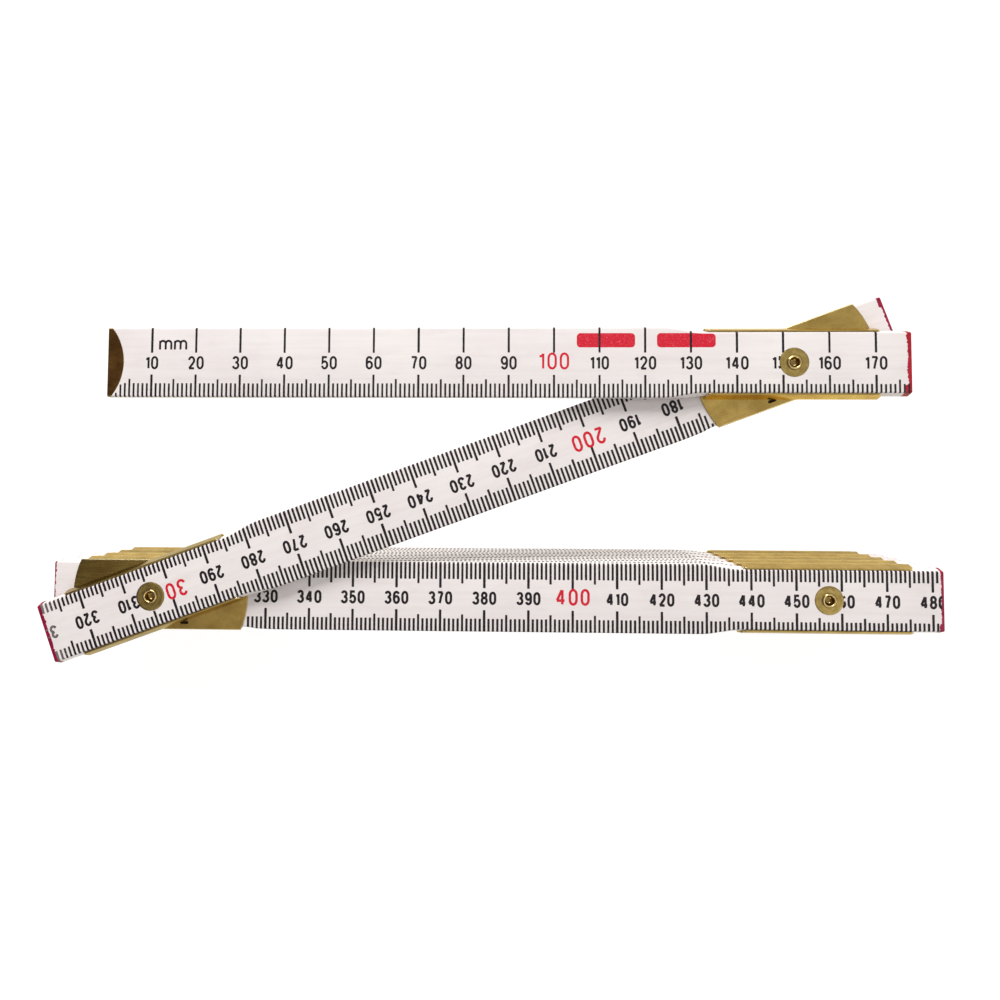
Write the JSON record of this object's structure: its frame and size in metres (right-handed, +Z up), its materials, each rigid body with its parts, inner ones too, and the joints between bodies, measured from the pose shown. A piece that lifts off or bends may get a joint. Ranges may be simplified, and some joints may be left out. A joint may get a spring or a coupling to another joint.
{
  "type": "folding rule",
  "caption": "Wooden zig-zag folding rule: flat enamelled sections joined end to end by brass strike plates and tubular rivets, with brass end tips.",
  "frame": {"origin": "middle of the last section's butt end, on the underside of the folded rule", "axes": "+X along the folded stack from the last section's free end, +Y across the sections towards the side the first two sections are opened to, +Z up through the stack, along every joint's axis"},
  "size_m": [0.204, 0.0837, 0.0369],
  "materials": {
    "enamelled_wood": "white enamel over hardwood, satin",
    "plate_brass": "rolled sheet, lightly tarnished",
    "washer_brass": "stamped, tarnished",
    "rivet_brass": "polished by use",
    "spring_steel": "plain",
    "tip_brass": "dark tarnish"
  },
  "bodies": {
    "leaf_12": {"section_12": "enamelled_wood", "strike_plates_12": "plate_brass", "washers_12": "washer_brass", "rivet_11": "rivet_brass", "last_tip": "tip_brass"},
    "leaf_11": {"section_11": "enamelled_wood", "strike_plates_11": "plate_brass", "washers_11": "washer_brass", "rivet_10": "rivet_brass", "spring_11": "spring_steel"},
    "leaf_10": {"section_10": "enamelled_wood", "strike_plates_10": "plate_brass", "washers_10": "washer_brass", "rivet_09": "rivet_brass", "spring_10": "spring_steel"},
    "leaf_09": {"section_09": "enamelled_wood", "strike_plates_09": "plate_brass", "washers_09": "washer_brass", "rivet_08": "rivet_brass", "spring_09": "spring_steel"},
    "leaf_08": {"section_08": "enamelled_wood", "strike_plates_08": "plate_brass", "washers_08": "washer_brass", "rivet_07": "rivet_brass", "spring_08": "spring_steel"},
    "leaf_07": {"section_07": "enamelled_wood", "strike_plates_07": "plate_brass", "washers_07": "washer_brass", "rivet_06": "rivet_brass", "spring_07": "spring_steel"},
    "leaf_06": {"section_06": "enamelled_wood", "strike_plates_06": "plate_brass", "washers_06": "washer_brass", "rivet_05": "rivet_brass", "spring_06": "spring_steel"},
    "leaf_05": {"section_05": "enamelled_wood", "strike_plates_05": "plate_brass", "washers_05": "washer_brass", "rivet_04": "rivet_brass", "spring_05": "spring_steel"},
    "leaf_04": {"section_04": "enamelled_wood", "strike_plates_04": "plate_brass", "washers_04": "washer_brass", "rivet_03": "rivet_brass", "spring_04": "spring_steel"},
    "leaf_03": {"section_03": "enamelled_wood", "strike_plates_03": "plate_brass", "washers_03": "washer_brass", "rivet_02": "rivet_brass", "spring_03": "spring_steel"},
    "leaf_02": {"section_02": "enamelled_wood", "strike_plates_02": "plate_brass", "washers_02": "washer_brass", "rivet_01": "rivet_brass", "spring_02": "spring_steel"},
    "leaf_01": {"section_01": "enamelled_wood", "strike_plates_01": "plate_brass", "washers_01": "washer_brass", "spring_01": "spring_steel", "zero_tip": "tip_brass"}
  },
  "joints": [
    {"name": "fold_11_12", "type": "hinge", "parent": "leaf_12", "child": "leaf_11", "pos_m": [0.1524, 0, 0.00275], "axis": [0, 0, 1], "range_deg": [-180, 180]},
    {"name": "fold_10_11", "type": "hinge", "parent": "leaf_11", "child": "leaf_10", "pos_m": [0, 0, 0.00585], "axis": [0, 0, 1], "range_deg": [-180, 180]},
    {"name": "fold_09_10", "type": "hinge", "parent": "leaf_10", "child": "leaf_09", "pos_m": [0.1524, 0, 0.00895], "axis": [0, 0, 1], "range_deg": [-180, 180]},
    {"name": "fold_08_09", "type": "hinge", "parent": "leaf_09", "child": "leaf_08", "pos_m": [0, 0, 0.01205], "axis": [0, 0, 1], "range_deg": [-180, 180]},
    {"name": "fold_07_08", "type": "hinge", "parent": "leaf_08", "child": "leaf_07", "pos_m": [0.1524, 0, 0.01515], "axis": [0, 0, 1], "range_deg": [-180, 180]},
    {"name": "fold_06_07", "type": "hinge", "parent": "leaf_07", "child": "leaf_06", "pos_m": [0, 0, 0.01825], "axis": [0, 0, 1], "range_deg": [-180, 180]},
    {"name": "fold_05_06", "type": "hinge", "parent": "leaf_06", "child": "leaf_05", "pos_m": [0.1524, 0, 0.02135], "axis": [0, 0, 1], "range_deg": [-180, 180]},
    {"name": "fold_04_05", "type": "hinge", "parent": "leaf_05", "child": "leaf_04", "pos_m": [0, 0, 0.02445], "axis": [0, 0, 1], "range_deg": [-180, 180]},
    {"name": "fold_03_04", "type": "hinge", "parent": "leaf_04", "child": "leaf_03", "pos_m": [0.1524, 0, 0.02755], "axis": [0, 0, 1], "range_deg": [-180, 180]},
    {"name": "fold_02_03", "type": "hinge", "parent": "leaf_03", "child": "leaf_02", "pos_m": [0, 0, 0.03065], "axis": [0, 0, 1], "range_deg": [-200.2, 159.8]},
    {"name": "fold_01_02", "type": "hinge", "parent": "leaf_02", "child": "leaf_01", "pos_m": [0.14303, 0.05262, 0.03375], "axis": [0, 0, 1], "range_deg": [-159.8, 200.2]}
  ]
}
